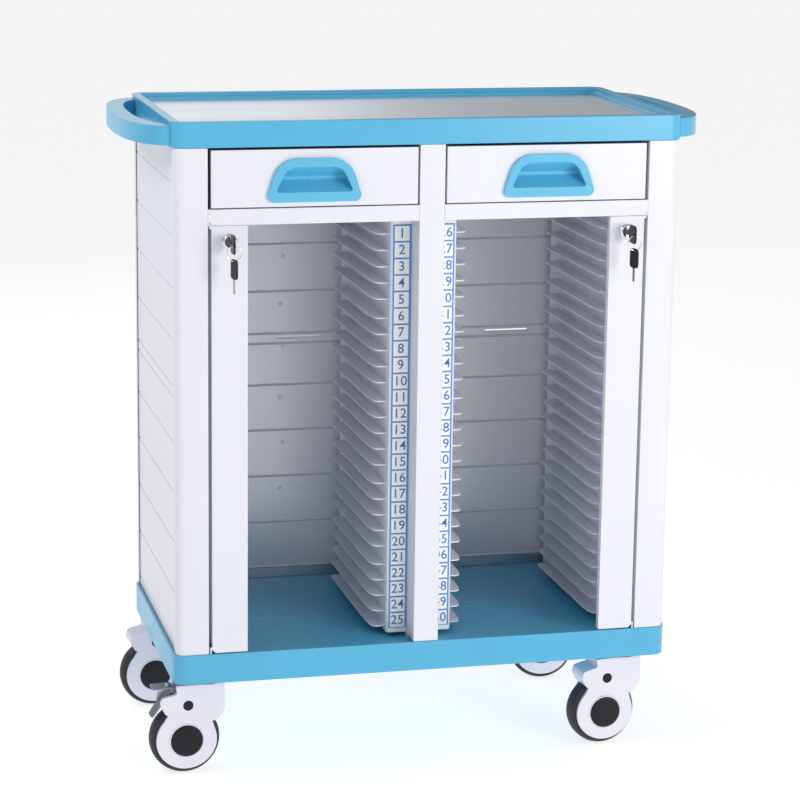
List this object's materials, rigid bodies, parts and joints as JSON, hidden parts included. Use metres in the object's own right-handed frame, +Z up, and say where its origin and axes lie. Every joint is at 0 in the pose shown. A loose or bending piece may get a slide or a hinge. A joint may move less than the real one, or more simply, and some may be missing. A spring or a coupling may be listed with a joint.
{
  "type": "patient record trolley",
  "caption": "Wheeled two-bay cabinet with ribbed racks and numbered strips for chart holders, two drawers, locking side flaps, blue end handles and swivel casters.",
  "frame": {"origin": "on the floor, under the middle of the whole object's box", "axes": "+Z up, -Y towards the front with the drawers, X along the cabinet's width with +X to the user's right facing the front"},
  "size_m": [0.92, 0.478, 1.0275],
  "materials": {
    "blue_abs": "satin moulded ABS, sky blue",
    "white_paint": "smooth powder coat, cool white",
    "steel_sheet": "satin stainless sheet",
    "rack_plastic": "moulded light grey plastic",
    "label_card": "printed number strip",
    "chrome": "bright plated",
    "zinc_steel": "dull zinc-plated steel",
    "black_plastic": "black moulded plastic",
    "tyre_rubber": "dark grey polyurethane tread",
    "white_plastic": "white moulded nylon"
  },
  "bodies": {
    "cabinet": {"base_tray": "blue_abs", "top_tray": "blue_abs", "top_sheet": "steel_sheet", "centre_post": "white_paint", "centre_partition": "white_paint", "back_panel": "white_paint", "drawer_deck": "white_paint", "handle_left": "blue_abs", "post_front_left": "white_paint", "post_rear_left": "white_paint", "side_panel_left": "white_paint", "front_rail_left": "white_paint", "rack_left_outer": "rack_plastic", "rack_left_inner": "rack_plastic", "label_strip_left": "label_card", "handle_right": "blue_abs", "post_front_right": "white_paint", "post_rear_right": "white_paint", "side_panel_right": "white_paint", "front_rail_right": "white_paint", "rack_right_outer": "rack_plastic", "rack_right_inner": "rack_plastic", "label_strip_right": "label_card", "caster_head_front_left": "white_plastic", "caster_head_front_right": "white_plastic", "caster_head_rear_left": "white_plastic", "caster_head_rear_right": "white_plastic"},
    "drawer_left": {"drawer_front_left": "white_paint", "drawer_box_left": "white_paint", "drawer_pull_left": "blue_abs"},
    "flap_left": {"flap_left": "white_paint", "lock_barrel_left": "chrome"},
    "lock_key_left": {"lock_cam_left": "zinc_steel", "key_left": "black_plastic"},
    "spare_key_left": {"key_ring_left": "chrome", "spare_key_left": "black_plastic"},
    "drawer_right": {"drawer_front_right": "white_paint", "drawer_box_right": "white_paint", "drawer_pull_right": "blue_abs"},
    "flap_right": {"flap_right": "white_paint", "lock_barrel_right": "chrome"},
    "lock_key_right": {"lock_cam_right": "zinc_steel", "key_right": "black_plastic"},
    "spare_key_right": {"key_ring_right": "chrome", "spare_key_right": "black_plastic"},
    "swivel_front_left": {"caster_fork_front_left": "white_plastic", "caster_axle_front_left": "black_plastic"},
    "wheel_front_left": {"caster_wheel_front_left": "tyre_rubber"},
    "pedal_front_left": {"brake_pedal_front_left": "zinc_steel"},
    "swivel_front_right": {"caster_fork_front_right": "white_plastic", "caster_axle_front_right": "black_plastic"},
    "wheel_front_right": {"caster_wheel_front_right": "tyre_rubber"},
    "swivel_rear_left": {"caster_fork_rear_left": "white_plastic", "caster_axle_rear_left": "black_plastic"},
    "wheel_rear_left": {"caster_wheel_rear_left": "tyre_rubber"},
    "swivel_rear_right": {"caster_fork_rear_right": "white_plastic", "caster_axle_rear_right": "black_plastic"},
    "wheel_rear_right": {"caster_wheel_rear_right": "tyre_rubber"},
    "pedal_rear_right": {"brake_pedal_rear_right": "zinc_steel"}
  },
  "joints": [
    {"name": "drawer_left_slide", "type": "slide", "parent": "cabinet", "child": "drawer_left", "axis": [0, -1, 0], "range_m": [0, 0.26]},
    {"name": "flap_left_hinge", "type": "hinge", "parent": "cabinet", "child": "flap_left", "pos_m": [-0.3425, -0.1882, 0.5365], "axis": [0, 0, 1], "range_deg": [-100, 0]},
    {"name": "lock_left_turn", "type": "hinge", "parent": "flap_left", "child": "lock_key_left", "pos_m": [-0.3125, -0.1897, 0.8475], "axis": [0, 1, 0], "range_deg": [0, 90]},
    {"name": "spare_key_left_swing", "type": "hinge", "parent": "lock_key_left", "child": "spare_key_left", "pos_m": [-0.3125, -0.228, 0.8461], "axis": [0, 1, 0], "range_deg": [-25, 25]},
    {"name": "drawer_right_slide", "type": "slide", "parent": "cabinet", "child": "drawer_right", "axis": [0, -1, 0], "range_m": [0, 0.26]},
    {"name": "flap_right_hinge", "type": "hinge", "parent": "cabinet", "child": "flap_right", "pos_m": [0.3425, -0.1882, 0.5365], "axis": [0, 0, 1], "range_deg": [0, 100]},
    {"name": "lock_right_turn", "type": "hinge", "parent": "flap_right", "child": "lock_key_right", "pos_m": [0.3125, -0.1897, 0.8475], "axis": [0, 1, 0], "range_deg": [-90, 0]},
    {"name": "spare_key_right_swing", "type": "hinge", "parent": "lock_key_right", "child": "spare_key_right", "pos_m": [0.3125, -0.228, 0.8461], "axis": [0, 1, 0], "range_deg": [-25, 25]},
    {"name": "swivel_front_left_turn", "type": "hinge", "parent": "cabinet", "child": "swivel_front_left", "pos_m": [-0.342, -0.141, 0.14], "axis": [0, 0, 1], "continuous": true},
    {"name": "wheel_front_left_roll", "type": "hinge", "parent": "swivel_front_left", "child": "wheel_front_left", "pos_m": [-0.37795, -0.14288, 0.0555], "axis": [-0.0523, 0.9986, 0], "continuous": true},
    {"name": "brake_front_left_press", "type": "hinge", "parent": "swivel_front_left", "child": "pedal_front_left", "pos_m": [-0.39792, -0.14393, 0.126], "axis": [-0.0523, 0.9986, 0], "range_deg": [-12, 0]},
    {"name": "swivel_front_right_turn", "type": "hinge", "parent": "cabinet", "child": "swivel_front_right", "pos_m": [0.342, -0.141, 0.14], "axis": [0, 0, 1], "continuous": true},
    {"name": "wheel_front_right_roll", "type": "hinge", "parent": "swivel_front_right", "child": "wheel_front_right", "pos_m": [0.3062, -0.14476, 0.0555], "axis": [-0.1045, 0.9945, 0], "continuous": true},
    {"name": "swivel_rear_left_turn", "type": "hinge", "parent": "cabinet", "child": "swivel_rear_left", "pos_m": [-0.342, 0.189, 0.14], "axis": [0, 0, 1], "continuous": true},
    {"name": "wheel_rear_left_roll", "type": "hinge", "parent": "swivel_rear_left", "child": "wheel_rear_left", "pos_m": [-0.37795, 0.18712, 0.0555], "axis": [-0.0523, 0.9986, 0], "continuous": true},
    {"name": "swivel_rear_right_turn", "type": "hinge", "parent": "cabinet", "child": "swivel_rear_right", "pos_m": [0.342, 0.189, 0.14], "axis": [0, 0, 1], "continuous": true},
    {"name": "wheel_rear_right_roll", "type": "hinge", "parent": "swivel_rear_right", "child": "wheel_rear_right", "pos_m": [0.30635, 0.19401, 0.0555], "axis": [0.1392, 0.9903, 0], "continuous": true},
    {"name": "brake_rear_right_press", "type": "hinge", "parent": "swivel_rear_right", "child": "pedal_rear_right", "pos_m": [0.28654, 0.19679, 0.126], "axis": [0.1392, 0.9903, 0], "range_deg": [-12, 0]}
  ]
}
